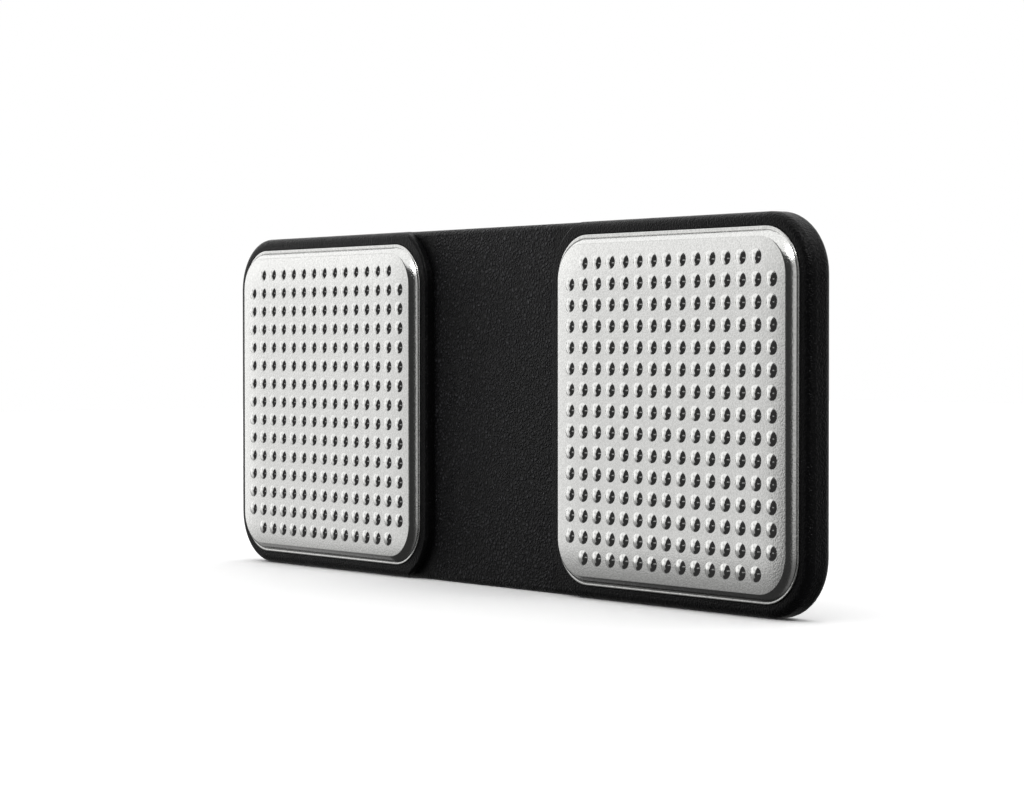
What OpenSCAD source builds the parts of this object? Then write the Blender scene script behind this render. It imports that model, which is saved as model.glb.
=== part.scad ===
// A pocket heart monitor, standing on its long edge with the electrodes facing -Y.
// Two dotted metal electrodes sit in the raised ends of a thin plastic body. A coin cell
// lies behind the right electrode, under a door in the back, and a circuit board and a
// flat sounder lie behind the left one. Each piece is drawn lying on its back, with X
// along the body, Y up its face and Z from the back face to the front, and is then
// stood up by upright().

/* [Body] */
// Length of the body, end to end
body_length = 82; // [80:0.5:96]
// Height of the body as it stands on its long edge
body_height = 32; // [31:0.5:38]
// Corner radius of the body, seen from the front
corner_radius = 5; // [4:0.1:6.5]
// Radius of the edge between the sides and the back face
back_edge_radius = 0.9; // [0.3:0.1:1]
// Radius of the front edge of the raised ends
front_edge_radius = 0.7; // [0.3:0.1:0.8]
// Radius of the front edge of the recessed middle
middle_edge_radius = 0.5; // [0.2:0.1:0.8]
// Radius along the top of the step from each raised end to the middle
step_edge_radius = 0.25; // [0.1:0.05:0.4]
// Drop from the flat of the electrodes to the border around them
border_drop = 0.7; // [0.6:0.05:0.75]
// Headroom between the circuit board and the front wall of the recessed middle
board_headroom = 0.2; // [0.1:0.05:0.4]
// Width of the border between each electrode and the outside of the body
border_width = 1.15; // [1.1:0.05:2]
// Width of the border on the side next to the middle
inner_border_width = 0.99; // [0.8:0.01:2]
// Distance from the edge of each electrode in to the walls of the cavity behind it
cavity_inset = 0.65; // [0.6:0.05:0.9]
// Thickness of the side walls, at the rear cover
wall_thickness = 1.2; // [1:0.05:1.5]
// Thickness of the plastic behind the electrodes
web_thickness = 0.55; // [0.4:0.05:0.55]
// Thickness of the front wall of the recessed middle
middle_wall = 0.6; // [0.4:0.05:0.7]

/* [Electrodes] */
// Thickness of the pressed steel sheet
sheet_thickness = 0.3; // [0.2:0.05:0.3]
// Outer radius of the rolled rim of each electrode
roll_radius = 0.8; // [0.6:0.05:0.85]
// Depth of the rim, from the flat of the electrode to its cut edge
rim_depth = 0.85; // [0.85:0.01:0.9]
// Distance from one pressed dot to the next
dot_pitch = 1.78; // [1.5:0.01:2.5]
// Diameter of each pressed dot
dot_diameter = 1.25; // [0.8:0.05:1.4]
// Height of each dot above the flat
dot_height = 0.2; // [0.1:0.01:0.3]
// Least distance from an outer dot's centre to the edge of the electrode
dot_margin = 2.2; // [1.8:0.1:4]
// Thickness of the adhesive sheet behind each electrode
adhesive_thickness = 0.1; // [0.05:0.01:0.1]

/* [Rear cover and battery door] */
// Thickness of the rear cover
cover_thickness = 0.55; // [0.52:0.01:0.56]
// Thickness of the bonding frame between the cover and the housing
bond_thickness = 0.05; // [0.03:0.01:0.08]
// Radius of the round battery door
door_radius = 11.8; // [11.6:0.1:12.1]
// Thickness of the battery door
door_thickness = 0.5; // [0.4:0.01:0.5]
// Distance from the door's centre to its straight hinge edge
hinge_offset = 10.7; // [10.6:0.05:10.9]
// Distance between the middles of the two hook tabs
tab_spacing = 7.6; // [7:0.1:8]
// Width of each hook tab
tab_width = 2.2; // [1.5:0.1:2.4]
// Thickness of each hook tab
tab_thickness = 0.3; // [0.2:0.05:0.35]
// Length of each tab under the edge of the cover
tab_reach = 0.5; // [0.3:0.05:0.6]
// Thickness of the plastic ring that the closed door rests on
seat_thickness = 0.43; // [0.3:0.01:0.5]
// Width of that ring outside the door's edge
seat_width = 0.7; // [0.5:0.05:0.9]
// Thickness of the wall around the cell
well_wall = 0.7; // [0.5:0.05:0.8]
// Thickness of the foam pad on the inside of the door
pad_thickness = 0.1; // [0.05:0.01:0.1]
// Diameter of the foam pad
pad_diameter = 12; // [8:0.5:16]
// Radius of the fingernail notch beside the door
notch_radius = 3; // [2:0.1:4]
// Depth of the fingernail notch into the cover
notch_depth = 0.35; // [0.2:0.01:0.4]

/* [Coin cell] */
// Diameter of the coin cell
cell_diameter = 20; // [19.5:0.1:20]
// Thickness of the coin cell
cell_thickness = 1.6; // [1.2:0.1:1.6]
// Thickness of the steel of the can and the cap
cell_steel = 0.25; // [0.15:0.01:0.3]
// Width of the sealing ring between the can and the cap
seal_width = 0.7; // [0.4:0.05:1]
// Thickness of the sprung metal strip of all the contacts
strip_thickness = 0.1; // [0.06:0.01:0.12]
// Width of the two strips that touch the cell
strip_width = 3; // [2:0.1:4]

/* [Circuit board] */
// Thickness of the circuit board
board_thickness = 0.4; // [0.3:0.05:0.45]
// Height of the pads that hold the board off the rear cover
board_standoff = 0.15; // [0.1:0.01:0.2]
// Distance from the centre of the left electrode to the board's left end
board_left_inset = 0.4; // [0:0.1:2]
// Distance from the centre of the cell to the board's right end
board_right_inset = 8.6; // [7.5:0.1:9.5]
// Radius of the board's corners
board_corner_radius = 2; // [1:0.1:2.5]
// Radius of the two pins that locate the board
pin_radius = 0.6; // [0.4:0.05:0.8]
// Width of the shoulder above each pin, which holds the board down
pin_shoulder = 0.5; // [0.3:0.05:0.7]
// Distance from the long edges of the board to the middle of each locating pin
pin_inset = 1.9; // [1.5:0.1:3]
// Distance from the edges of the board to the nearest of the pads it rests on
standoff_inset = 2.5; // [1.5:0.1:3]
// Radius of the pads that the board rests on
standoff_radius = 0.8; // [0.5:0.05:1]

/* [Electronics] */
// Side of the microcontroller
controller_side = 5; // [4:0.1:6]
// Height of the microcontroller and the amplifier
chip_height = 0.85; // [0.6:0.05:0.9]
// Side of the amplifier
amplifier_side = 3; // [2:0.1:4]
// Length of the timing crystal's can
crystal_length = 3.2; // [2:0.1:4]
// Width of the timing crystal's can
crystal_width = 2.5; // [1.6:0.1:3]
// Height of the timing crystal's can
crystal_height = 0.7; // [0.5:0.05:0.9]
// Length of each small capacitor or resistor
passive_length = 1; // [0.6:0.1:1.4]
// Width and height of each small capacitor or resistor
passive_width = 0.5; // [0.3:0.05:0.7]
// Diameter of the sounder's brass plate
brass_diameter = 12.4; // [9:0.1:12.4]
// Thickness of the sounder's brass plate
brass_thickness = 0.15; // [0.1:0.01:0.2]
// Diameter of the sounder's ceramic disc
ceramic_diameter = 8.4; // [6:0.1:8.5]
// Thickness of the sounder's ceramic disc
ceramic_thickness = 0.15; // [0.1:0.01:0.2]
// Diameter of the sounder's two leads
lead_diameter = 0.3; // [0.2:0.05:0.35]
// Width of the strip of each electrode contact
finger_width = 2; // [1.2:0.1:2.4]
// Length of each electrode contact
finger_length = 3; // [2:0.1:3.4]
// Distance from the edges of each electrode to the middle of its contact
contact_inset = 3.5; // [3:0.1:4.5]
// Gap between the larger parts on the board, and from them to the walls of the cavity
component_gap = 2.4; // [1.5:0.1:3]
// Gap between the small capacitors and resistors
passive_gap = 0.9; // [0.5:0.1:1.2]
// Distance between the sounder's two leads
lead_spacing = 1.6; // [1:0.1:2.5]
// Height of the leads above the board
lead_rise = 0.5; // [0.3:0.1:0.7]

/* [Fits] */
// Gap around the rim of each electrode, in its groove
rim_gap = 0.08; // [0.05:0.01:0.12]
// Gap under the cut edge of each electrode's rim
groove_gap = 0.05; // [0.02:0.01:0.08]
// Gap between the rear cover and the wall around it
cover_gap = 0.08; // [0.05:0.01:0.15]
// Gap between the door and the opening it closes
door_gap = 0.12; // [0.08:0.01:0.15]
// Gap behind the closed door, and behind its foam pad
door_rest_gap = 0.02; // [0.01:0.01:0.03]
// Gap between the hook tabs and the pieces they swing past
tab_gap = 0.05; // [0.03:0.01:0.08]
// Gap between the cell and the wall around it
cell_gap = 0.25; // [0.2:0.01:0.3]
// Gap around the contacts, in the slots they pass through
slot_gap = 0.3; // [0.2:0.05:0.4]
// Gap between the edge of the board and the walls beside it
board_gap = 0.3; // [0.2:0.05:0.5]
// Radial gap between the locating pins and their holes
pin_gap = 0.05; // [0.03:0.01:0.1]
// Gap between stacked pieces that don't press on each other
stack_gap = 0.03; // [0.01:0.01:0.03]

/* [Hidden] */

$fn = 64;
// How far cuts run past the faces they open, and how far joined shapes sink into each other
overcut = 1;
sink = 0.1;

plastic = "#1d1d1f";
steel = "#c9c9c6";
spring_metal = "#c8a65a";
board_green = "#1f5a3a";
chip_black = "#2a2a2c";
tape = "#d9d4c4";

// Heights above the back face: the cell's stack sets the depth of the raised ends, up to
// the flat of the electrodes, and the board's stack sets the depth of the middle
shelf_z = cover_thickness + bond_thickness;
seat_z = door_thickness + door_rest_gap;
seat_top_z = seat_z + seat_thickness;
cell_z = door_thickness + pad_thickness + door_rest_gap;
cell_top_z = cell_z + cell_thickness;
web_z = cell_top_z + strip_thickness + stack_gap;
island_z = web_z + web_thickness;
sheet_back_z = island_z + adhesive_thickness;
body_depth = sheet_back_z + sheet_thickness;
border_z = body_depth - border_drop;
groove_z = body_depth - rim_depth - groove_gap;
tab_z = cover_thickness + tab_gap;
board_z = cover_thickness + board_standoff;
board_top_z = board_z + board_thickness;
middle_roof_z = board_top_z + board_headroom;
middle_z = middle_roof_z + middle_wall;
well_top_z = web_z - stack_gap;

// Places in the plane of the body
electrode_side = body_height - 2 * border_width;
electrode_x = body_length / 2 - border_width - electrode_side / 2;
electrode_radius = corner_radius - border_width;
cavity_side = electrode_side - 2 * cavity_inset;
cavity_radius = max(1, electrode_radius - 1);
raised_x = electrode_x - electrode_side / 2 - inner_border_width;
cover_length = body_length - 2 * (wall_thickness + cover_gap);
cover_height = body_height - 2 * (wall_thickness + cover_gap);
cover_radius = corner_radius - wall_thickness - cover_gap;
cell_x = electrode_x;
well_radius = cell_diameter / 2 + cell_gap;
seat_radius = door_radius + door_gap + seat_width;
sounder_x = -(electrode_x + cavity_side / 4);

// The circuit board and what holds it
board_left = electrode_x - board_left_inset;
board_right = cell_x - board_right_inset;
board_height = cavity_side - 2 * board_gap;
pin_y = board_height / 2 - pin_inset;
standoff_y = board_height / 2 - standoff_inset;
standoffs = [
    for (x = [-board_left + standoff_inset, board_right - standoff_inset], y = [-standoff_y, standoff_y]) [x, y],
    for (x = [-raised_x / 2, raised_x / 2], y = [-standoff_y / 2, standoff_y / 2]) [x, y]
];
// Distance from the cell's centre to the upright part of its two contact strips
riser_radius = (seat_radius + cavity_side / 2) / 2;

// Places of the parts on the circuit board
contact_x = electrode_x - electrode_side / 2 + contact_inset;
contact_y = electrode_side / 2 - contact_inset;
part_edge_x = cavity_side / 2 - electrode_x - component_gap;
controller_at = [part_edge_x - controller_side / 2, controller_side / 4];
amplifier_at = [part_edge_x - amplifier_side / 2, controller_at.y - controller_side / 2 - component_gap - amplifier_side / 2];
crystal_at = [amplifier_at.x - amplifier_side / 2 - component_gap - crystal_length / 2, amplifier_at.y];
first_passive_at = [component_gap - board_left, controller_at.y + controller_side / 2 + component_gap];
passive_step = passive_gap * [1, 1] + [passive_length, passive_width];
passive_columns = 4;
passive_rows = 3;
lead_pad_x = component_gap / 2 - board_left;
positive_angle = 222;
// Length of each cell contact's foot on the board
foot_length = 1.4;
// Depth of the dot that marks a chip's first pin
pin_mark_depth = 0.05;
crystal_corner_radius = 0.4;

// Stands a piece up on its long edge, with its front towards -Y
module upright() {
    translate([0, (body_depth + dot_height) / 2, body_height / 2])
        rotate([90, 0, 0])
            children();
}

// A rectangle with round corners
module rounded_rect(length, height, radius) {
    square([length - 2 * radius, height], center = true);
    square([length, height - 2 * radius], center = true);
    for (x = [-1, 1], y = [-1, 1])
        translate([x * (length / 2 - radius), y * (height / 2 - radius)])
            circle(r = radius);
}

// A flat plate with round corners, from one height to another
module plate(length, height, radius, low, high) {
    translate([0, 0, low])
        linear_extrude(high - low)
            rounded_rect(length, height, radius);
}

// The corner between the sides x = 0 and y = 0, outside a quarter circle
module corner_waste(radius) {
    difference() {
        translate([-radius, -radius])
            square(radius + overcut);
        translate([-radius, -radius])
            circle(r = radius);
    }
}

// Section of a slab's rim: from a corner's centre line out to the side
module rim_section(width, low, high, back_radius, front_radius) {
    difference() {
        translate([0, low])
            square([width, high - low]);
        if (front_radius > 0)
            translate([width, high])
                corner_waste(front_radius);
        if (back_radius > 0)
            translate([width, low])
                mirror([0, 1])
                    corner_waste(back_radius);
    }
}

// A flat slab with round corners and rounded back and front edges
module slab(length, height, radius, low, high, back_radius = 0, front_radius = 0) {
    reach = [length / 2 - radius, height / 2 - radius];
    translate([-reach.x, -reach.y, low])
        cube([2 * reach.x, 2 * reach.y, high - low]);
    for (turn = [0 : 3]) {
        out = turn % 2 == 0 ? reach.x : reach.y;
        along = turn % 2 == 0 ? reach.y : reach.x;
        rotate([0, 0, 90 * turn])
            translate([out, along, 0]) {
                rotate([90, 0, 0])
                    linear_extrude(2 * along)
                        rim_section(radius, low, high, back_radius, front_radius);
                rotate_extrude(angle = 90, $fn = 96)
                    rim_section(radius, low, high, back_radius, front_radius);
            }
    }
}

// A round bar from one point to another
module bar(from, to, radius) {
    run = to - from;
    translate(from)
        rotate([0, acos(run.z / norm(run)), atan2(run.y, run.x)])
            cylinder(r = radius, h = norm(run), $fn = 24);
}

// The slot through the plastic and the adhesive that an electrode contact passes through
module contact_slot(low, high) {
    translate([contact_x - finger_length / 2 - slot_gap, contact_y - finger_width / 2 - slot_gap, low])
        cube([finger_length + 2 * slot_gap, finger_width + 2 * slot_gap, high - low]);
}

module body_outside() {
    raised_length = body_length / 2 - raised_x + overcut;
    intersection() {
        slab(body_length, body_height, corner_radius, 0, border_z, back_edge_radius, front_edge_radius);
        union() {
            for (side = [-1, 1])
                translate([side * (raised_x + raised_length / 2), 0, 0])
                    slab(raised_length, body_height + 2 * step_edge_radius,
                        corner_radius + step_edge_radius, -overcut, border_z, 0, step_edge_radius);
            middle_section();
        }
    }
}

module middle_section() {
    half_length = raised_x + corner_radius + 2 * step_edge_radius;
    translate([-half_length, 0, 0])
        rotate([90, 0, 90])
            linear_extrude(2 * half_length)
                difference() {
                    translate([-body_height / 2, -overcut])
                        square([body_height, middle_z + overcut]);
                    for (side = [0, 1])
                        mirror([side, 0])
                            translate([body_height / 2, middle_z])
                                corner_waste(middle_edge_radius);
                }
}

// The raised plastic that fills each electrode from behind, ready for its adhesive
module islands() {
    inset = sheet_thickness + rim_gap;
    for (side = [-1, 1])
        translate([side * electrode_x, 0, 0])
            slab(electrode_side - 2 * inset, electrode_side - 2 * inset, electrode_radius - inset,
                web_z + sink, island_z, 0, roll_radius - sheet_thickness);
}

module rim_grooves() {
    inset = sheet_thickness + rim_gap;
    for (side = [-1, 1])
        translate([side * electrode_x, 0, 0])
            difference() {
                plate(electrode_side + 2 * rim_gap, electrode_side + 2 * rim_gap,
                    electrode_radius + rim_gap, groove_z, body_depth);
                slab(electrode_side - 2 * inset, electrode_side - 2 * inset, electrode_radius - inset,
                    web_z, island_z, 0, roll_radius - sheet_thickness);
            }
}

module front_housing() color(plastic) upright() {
    difference() {
        union() {
            body_outside();
            islands();
        }
        rim_grooves();
        plate(body_length - 2 * wall_thickness, body_height - 2 * wall_thickness,
            corner_radius - wall_thickness, -overcut, shelf_z);
        for (side = [-1, 1])
            translate([side * electrode_x, 0, 0])
                plate(cavity_side, cavity_side, cavity_radius, 0, web_z);
        translate([-electrode_x, -cavity_side / 2, 0])
            cube([2 * electrode_x, cavity_side, middle_roof_z]);
        for (side = [0, 1])
            mirror([side, 0, 0])
                contact_slot(0, body_depth);
    }
    for (side = [-1, 1])
        translate([0, side * pin_y, 0]) {
            translate([0, 0, board_top_z])
                cylinder(r = pin_radius + pin_shoulder, h = middle_roof_z - board_top_z + sink);
            translate([0, 0, shelf_z + stack_gap])
                cylinder(r = pin_radius, h = board_top_z - shelf_z);
        }
}

// Outline of the battery door, grown by a gap: a disc with a straight hinge edge
module door_outline(gap) {
    intersection() {
        circle(r = door_radius + gap, $fn = 96);
        translate([-2 * door_radius, -2 * door_radius])
            square([2 * door_radius + hinge_offset + gap, 4 * door_radius]);
    }
}

module rear_cover() color(plastic) upright() {
    difference() {
        union() {
            plate(cover_length, cover_height, cover_radius, 0, cover_thickness);
            translate([cell_x, 0, sink])
                cylinder(r = seat_radius, h = seat_top_z - sink, $fn = 96);
            translate([cell_x, 0, sink])
                cylinder(r = well_radius + well_wall, h = well_top_z - sink, $fn = 96);
            for (at = standoffs)
                translate([at.x, at.y, sink])
                    cylinder(r = standoff_radius, h = board_z - sink, $fn = 32);
        }
        translate([cell_x, 0, 0]) {
            translate([0, 0, -overcut])
                linear_extrude(overcut + seat_z)
                    door_outline(door_gap);
            cylinder(r = well_radius, h = body_depth, $fn = 96);
            tab_pockets();
            strip_slot(positive_angle, seat_top_z);
            strip_slot(180, seat_top_z);
            translate([-door_radius - notch_radius / 3, 0, -overcut])
                cylinder(r = notch_radius, h = overcut + notch_depth);
        }
    }
}

// Pockets that the hook tabs lie in and swing through
module tab_pockets() {
    swing = hinge_offset + door_gap + tab_reach + 2 * tab_gap;
    for (side = [-1, 1])
        translate([well_radius - tab_width, side * tab_spacing / 2 - tab_width / 2 - 2 * tab_gap, seat_z - tab_gap])
            cube([swing - well_radius + tab_width, tab_width + 4 * tab_gap, tab_z + tab_thickness + tab_reach - seat_z]);
}

// Slot through the wall around the cell for a contact strip
module strip_slot(angle, low) {
    rotate([0, 0, angle])
        translate([well_radius - 1, -strip_width / 2 - slot_gap, low])
            cube([well_wall + 2, strip_width + 2 * slot_gap, body_depth]);
}

module cover_bond() color(tape) upright() {
    inset = cover_gap / 2;
    difference() {
        plate(cover_length - 2 * inset, cover_height - 2 * inset, cover_radius - inset, cover_thickness, shelf_z);
        for (side = [-1, 1])
            translate([side * electrode_x, 0, 0])
                plate(cavity_side + 2 * inset, cavity_side + 2 * inset, cavity_radius + inset, 0, body_depth);
        translate([-electrode_x, -cavity_side / 2 - inset, 0])
            cube([2 * electrode_x, cavity_side + 2 * inset, body_depth]);
    }
}

module battery_door() color(plastic) upright() {
    translate([cell_x, 0, 0]) {
        linear_extrude(door_thickness)
            door_outline(0);
        for (side = [-1, 1])
            translate([0, side * tab_spacing / 2 - tab_width / 2, 0]) {
                translate([hinge_offset - 2 * tab_thickness, 0, door_thickness / 2])
                    cube([2 * tab_thickness - tab_gap, tab_width, tab_z + tab_thickness - door_thickness / 2]);
                translate([hinge_offset - 2 * tab_thickness, 0, tab_z])
                    cube([2 * tab_thickness + door_gap + tab_reach, tab_width, tab_thickness]);
            }
    }
}

module door_pad() color(tape) upright() {
    translate([cell_x, 0, door_thickness])
        cylinder(d = pad_diameter, h = pad_thickness);
}

// One pressed dot: the cap of a ball, sunk a little into the sheet
module dot() {
    ball_radius = (pow(dot_diameter / 2, 2) + pow(dot_height, 2)) / (2 * dot_height);
    rotate_extrude($fn = 32)
        intersection() {
            translate([0, dot_height - ball_radius])
                circle(r = ball_radius, $fn = 96);
            translate([0, -sheet_thickness / 2])
                square([dot_diameter, sheet_thickness + dot_height]);
        }
}

// A pressed steel electrode: a flat pan with a rolled rim and a square of dots
module electrode(x) color(steel) upright() {
    inner_side = electrode_side - 2 * sheet_thickness;
    dots = floor((electrode_side - 2 * dot_margin) / dot_pitch) + 1;
    rim_z = body_depth - rim_depth;
    translate([x, 0, 0]) {
        difference() {
            slab(electrode_side, electrode_side, electrode_radius, rim_z, body_depth, 0, roll_radius);
            slab(inner_side, inner_side, electrode_radius - sheet_thickness,
                rim_z - overcut, sheet_back_z, 0, roll_radius - sheet_thickness);
        }
        for (i = [0 : dots - 1], j = [0 : dots - 1])
            if (!((i == 0 || i == dots - 1) && (j == 0 || j == dots - 1)))
                translate([(i - (dots - 1) / 2) * dot_pitch, (j - (dots - 1) / 2) * dot_pitch, body_depth])
                    dot();
    }
}

module left_electrode() electrode(-electrode_x);
module right_electrode() electrode(electrode_x);

// Adhesive sheet between an electrode and the plastic behind it
module adhesive(side) color(tape) upright() {
    flat_side = electrode_side - 2 * roll_radius;
    difference() {
        translate([side * electrode_x, 0, 0])
            plate(flat_side, flat_side, electrode_radius - roll_radius, island_z, sheet_back_z);
        mirror([side < 0 ? 1 : 0, 0, 0])
            contact_slot(0, body_depth);
    }
}

module left_adhesive() adhesive(-1);
module right_adhesive() adhesive(1);

// A C-shaped strip, soldered to the board, that presses on the back of an electrode
module electrode_contact(side) color(spring_metal) upright() {
    top = sheet_back_z;
    mirror([side < 0 ? 1 : 0, 0, 0])
        translate([contact_x - finger_length / 2, contact_y - finger_width / 2, board_top_z]) {
            cube([finger_length, finger_width, strip_thickness]);
            cube([strip_thickness, finger_width, top - board_top_z]);
            translate([0, 0, top - board_top_z - strip_thickness])
                cube([finger_length, finger_width, strip_thickness]);
        }
}

module left_electrode_contact() electrode_contact(-1);
module right_electrode_contact() electrode_contact(1);

module circuit_board() color(board_green) upright() {
    difference() {
        translate([(board_right - board_left) / 2, 0, 0])
            plate(board_left + board_right, board_height, board_corner_radius, board_z, board_top_z);
        translate([cell_x, 0, 0])
            cylinder(r = seat_radius + board_gap, h = body_depth, $fn = 96);
        for (side = [-1, 1])
            translate([0, side * pin_y, 0])
                cylinder(r = pin_radius + pin_gap, h = body_depth);
    }
}

// A flat chip package with a dot over its first pin
module chip(at, side) {
    translate([at.x, at.y, board_top_z])
        difference() {
            translate([-side / 2, -side / 2, 0])
                cube([side, side, chip_height]);
            translate([-side * 0.35, side * 0.35, chip_height - pin_mark_depth])
                cylinder(d = side / 10, h = overcut, $fn = 24);
        }
}

module microcontroller() color(chip_black) upright() chip(controller_at, controller_side);
module amplifier() color(chip_black) upright() chip(amplifier_at, amplifier_side);

module timing_crystal() color(steel) upright() {
    translate([crystal_at.x, crystal_at.y, 0])
        plate(crystal_length, crystal_width, crystal_corner_radius, board_top_z, board_top_z + crystal_height);
}

module small_components() color(spring_metal) upright() {
    for (column = [0 : passive_columns - 1], row = [0 : passive_rows - 1])
        translate([first_passive_at.x + column * passive_step.x, first_passive_at.y + row * passive_step.y, board_top_z])
            cube([passive_length, passive_width, passive_width]);
}

// Sections of the coin cell, turned about its axis
module cell_can() color(steel) upright() translate([cell_x, 0, cell_z]) {
    outer = cell_diameter / 2;
    inner = outer - cell_steel;
    rotate_extrude($fn = 96)
        polygon([
            [0, 0], [outer - cell_steel, 0], [outer, cell_steel],
            [outer, cell_thickness - 1.6 * cell_steel],
            [outer - 1.4 * cell_steel, cell_thickness - 0.4 * cell_steel],
            [inner - cell_steel, cell_thickness - 0.4 * cell_steel],
            [inner, cell_thickness - 1.4 * cell_steel],
            [inner, cell_steel], [0, cell_steel]
        ]);
}

module cell_seal() color(tape) upright() translate([cell_x, 0, cell_z]) {
    outer = cell_diameter / 2 - cell_steel;
    rotate_extrude($fn = 96)
        polygon([
            [outer - seal_width, cell_steel], [outer, cell_steel],
            [outer, cell_thickness - 1.4 * cell_steel],
            [outer - cell_steel, cell_thickness - 0.4 * cell_steel],
            [outer - seal_width, cell_thickness - 1.4 * cell_steel]
        ]);
}

module cell_cap() color(steel) upright() translate([cell_x, 0, cell_z]) {
    outer = cell_diameter / 2 - cell_steel - seal_width;
    rotate_extrude($fn = 96)
        polygon([
            [0, cell_thickness - cell_steel], [outer - 2 * cell_steel, cell_thickness - cell_steel],
            [outer - cell_steel, cell_thickness - 2 * cell_steel], [outer - cell_steel, 1.5 * cell_steel],
            [outer, 1.5 * cell_steel], [outer, cell_thickness - 2 * cell_steel],
            [outer - cell_steel, cell_thickness], [0, cell_thickness]
        ]);
}

// The strip from the board to the side of the can
module positive_contact() color(spring_metal) upright() {
    touch = cell_diameter / 2;
    arm_z = cell_z + cell_thickness / 2;
    translate([cell_x, 0, 0])
        rotate([0, 0, positive_angle])
            translate([0, -strip_width / 2, 0]) {
                translate([riser_radius, 0, board_top_z])
                    cube([foot_length, strip_width, strip_thickness]);
                translate([riser_radius, 0, board_top_z])
                    cube([strip_thickness, strip_width, arm_z - board_top_z]);
                translate([touch, 0, arm_z - strip_thickness])
                    cube([riser_radius - touch + strip_thickness, strip_width, strip_thickness]);
                translate([touch, 0, arm_z - 3 * strip_thickness])
                    cube([strip_thickness, strip_width, 6 * strip_thickness]);
            }
}

// The strip from the board, over the wall of the well, to the cap of the cell
module negative_contact() color(spring_metal) upright() {
    translate([cell_x, 0, 0])
        rotate([0, 0, 180])
            translate([0, -strip_width / 2, 0]) {
                translate([riser_radius, 0, board_top_z])
                    cube([foot_length, strip_width, strip_thickness]);
                translate([riser_radius, 0, board_top_z])
                    cube([strip_thickness, strip_width, cell_top_z + strip_thickness - board_top_z]);
                translate([cell_diameter / 4, 0, cell_top_z])
                    cube([riser_radius - cell_diameter / 4 + strip_thickness, strip_width, strip_thickness]);
            }
}

module sounder_brass() color(spring_metal) upright() {
    translate([sounder_x, 0, cover_thickness])
        cylinder(d = brass_diameter, h = brass_thickness);
}

module sounder_ceramic() color("white") upright() {
    translate([sounder_x, 0, cover_thickness + brass_thickness])
        cylinder(d = ceramic_diameter, h = ceramic_thickness);
}

// Two leads, one from the ceramic and one from the brass to the end of the board
module sounder_leads() color(tape) upright() {
    pad_z = board_top_z + lead_diameter / 2;
    brass_z = cover_thickness + brass_thickness + lead_diameter / 2;
    lead(sounder_x, lead_spacing / 2, brass_z + ceramic_thickness, pad_z);
    lead(sounder_x + (ceramic_diameter + brass_diameter) / 4, -lead_spacing / 2, brass_z, pad_z);
}

module lead(start_x, y, start_z, pad_z) {
    radius = lead_diameter / 2;
    points = [
        [start_x, y, start_z], [start_x, y, pad_z + lead_rise],
        [lead_pad_x, y, pad_z + lead_rise], [lead_pad_x, y, pad_z]
    ];
    for (i = [0 : len(points) - 2])
        bar(points[i], points[i + 1], radius);
    for (point = points)
        translate(point)
            sphere(r = radius, $fn = 24);
}

front_housing();
rear_cover();
cover_bond();
battery_door();
door_pad();
left_electrode();
right_electrode();
left_adhesive();
right_adhesive();
left_electrode_contact();
right_electrode_contact();
circuit_board();
microcontroller();
amplifier();
timing_crystal();
small_components();
cell_can();
cell_cap();
cell_seal();
positive_contact();
negative_contact();
sounder_brass();
sounder_ceramic();
sounder_leads();
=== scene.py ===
"""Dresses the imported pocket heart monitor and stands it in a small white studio.

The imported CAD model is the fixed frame. Its plastic and inner pieces keep their shapes and
get finishes here. The two pressed steel electrodes are built again as finer meshes, with
blended dots and a rolled rim. Sizes are in millimetres and are turned to metres by MM.
"""
import logging
import math
from dataclasses import dataclass, field
from enum import Enum, IntEnum

import bmesh
import bpy
import numpy as np
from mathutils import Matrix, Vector


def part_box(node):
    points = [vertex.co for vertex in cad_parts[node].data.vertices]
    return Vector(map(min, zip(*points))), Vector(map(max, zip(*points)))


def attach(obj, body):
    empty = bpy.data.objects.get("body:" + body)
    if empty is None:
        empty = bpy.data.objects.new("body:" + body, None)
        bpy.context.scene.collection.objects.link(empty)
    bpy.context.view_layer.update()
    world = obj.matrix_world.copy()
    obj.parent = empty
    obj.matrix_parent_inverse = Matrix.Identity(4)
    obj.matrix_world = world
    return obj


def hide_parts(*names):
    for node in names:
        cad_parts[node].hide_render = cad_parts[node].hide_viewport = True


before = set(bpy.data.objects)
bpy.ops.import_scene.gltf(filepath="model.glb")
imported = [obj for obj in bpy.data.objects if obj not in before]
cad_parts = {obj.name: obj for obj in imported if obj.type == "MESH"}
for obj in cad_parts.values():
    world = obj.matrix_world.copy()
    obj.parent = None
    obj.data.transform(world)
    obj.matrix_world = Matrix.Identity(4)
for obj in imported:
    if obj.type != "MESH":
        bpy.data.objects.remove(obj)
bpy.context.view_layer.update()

MM = 0.001
log = logging.getLogger("heart_monitor")

Tree = bpy.types.NodeTree
Socket = bpy.types.NodeSocket
Colour = tuple[float, float, float, float]
Point = tuple[float, float, float]

# The middle of the right electrode, which the coin cell lies behind, and the flats of both.
ELECTRODE_X = 25.0
MIDDLE_Z = 16.0
FLAT_Y = -1.55
WHITE: Colour = (1.0, 1.0, 1.0, 1.0)


class Body(Enum):
    """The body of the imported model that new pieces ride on."""

    HOUSING = "body"


class Side(Enum):
    """The two ends of the monitor, as they are seen from the front."""

    LEFT = "left"
    RIGHT = "right"


class Mix(IntEnum):
    """The inputs of a Mix node by their places, since its numbers and colours share names."""

    FACTOR = 0
    FIRST = 2
    SECOND = 3
    FIRST_COLOUR = 6
    SECOND_COLOUR = 7


# The place of the mixed colour among a Mix node's outputs.
MIXED_COLOUR = 2


# ---------------------------------------------------------------- nodes and colours


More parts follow.
